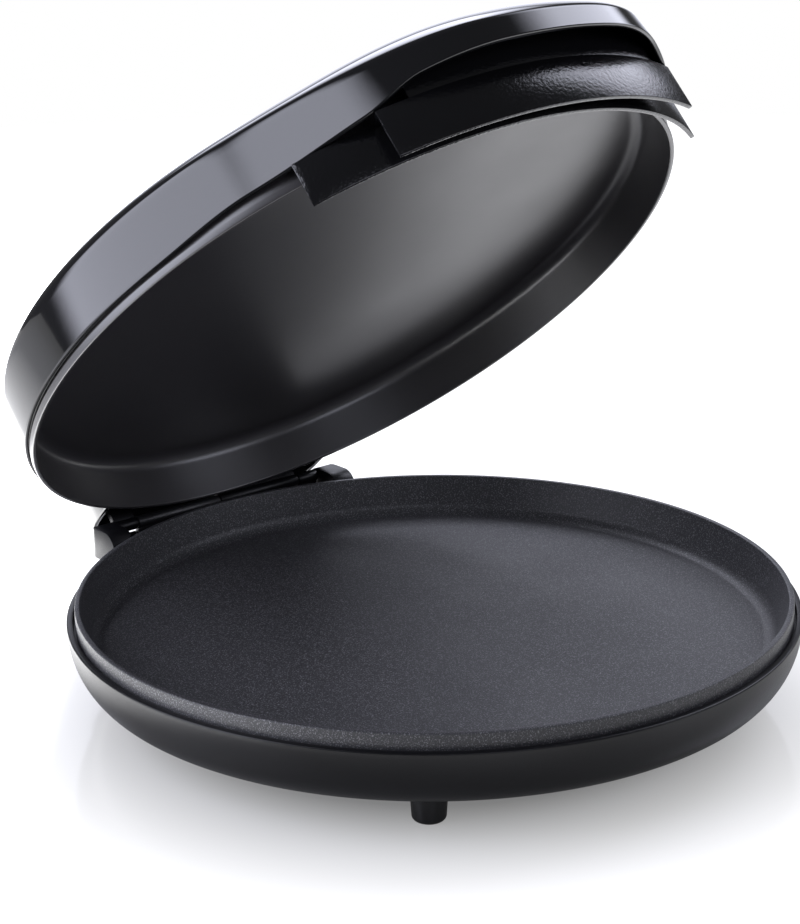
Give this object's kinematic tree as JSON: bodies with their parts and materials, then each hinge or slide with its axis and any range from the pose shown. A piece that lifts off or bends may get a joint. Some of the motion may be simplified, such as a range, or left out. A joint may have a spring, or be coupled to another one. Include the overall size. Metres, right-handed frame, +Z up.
{
  "type": "electric pizza maker",
  "caption": "Round countertop pizza maker with two heated non-stick pans in a clam shell, a moulded hood handle on the hinged lid and short round feet.",
  "frame": {"origin": "on the centre line of the pans, at the level of the feet's bottom faces", "axes": "+Z up, -Y towards the user and the hood, +Y towards the hinge, +X to the user's right"},
  "size_m": [0.3332, 0.3623, 0.3199],
  "materials": {
    "housing_plastic": "satin black moulded plastic",
    "shell_plastic": "polished black moulded plastic",
    "insert_plastic": "black plastic with a fine moulded grain",
    "pan_coating": "cast metal with a speckled dark non-stick coating",
    "lid_pan_coating": "cast metal with a smooth dark satin coating",
    "heater_steel": "drawn tube, heat-dulled",
    "zinc_steel": "zinc-plated",
    "reflector_metal": "thin bright sheet",
    "pin_steel": "ground rod",
    "ceramic": "unglazed ceramic body",
    "terminal_plastic": "moulded heat-proof plastic",
    "wire_cover": "heat-proof sleeving",
    "bush_rubber": "soft black bush",
    "foot_plastic": "matte black moulded plastic",
    "red_lens": "clear red lens",
    "green_lens": "clear green lens",
    "board": "small lamp board"
  },
  "bodies": {
    "base": {"base_housing": "housing_plastic", "base_pan": "pan_coating", "base_heater": "heater_steel", "base_heater_clips": "zinc_steel", "base_reflector": "reflector_metal", "base_pan_screws": "zinc_steel", "base_thermostat": "ceramic", "base_thermal_fuse": "ceramic", "terminal_block": "terminal_plastic", "base_wiring": "wire_cover", "cord_inlet_bush": "bush_rubber", "foot_screws": "zinc_steel", "hinge_pin": "pin_steel", "foot_front_left": "foot_plastic", "foot_front_right": "foot_plastic", "foot_rear_left": "foot_plastic", "foot_rear_right": "foot_plastic"},
    "lid": {"lid_shell": "shell_plastic", "lid_pan": "lid_pan_coating", "hood_insert": "insert_plastic", "lid_heater": "heater_steel", "lid_heater_clips": "zinc_steel", "lid_reflector": "reflector_metal", "lid_pan_retainers": "zinc_steel", "lid_thermal_fuse": "ceramic", "hood_screws": "zinc_steel", "power_lamp_lens": "red_lens", "ready_lamp_lens": "green_lens", "lamp_holder": "board"}
  },
  "joints": [
    {"name": "lid_hinge", "type": "hinge", "parent": "base", "child": "lid", "pos_m": [0, 0.1666, 0.0507], "axis": [-1, 0, 0], "range_deg": [-44.3, 50.7]}
  ]
}
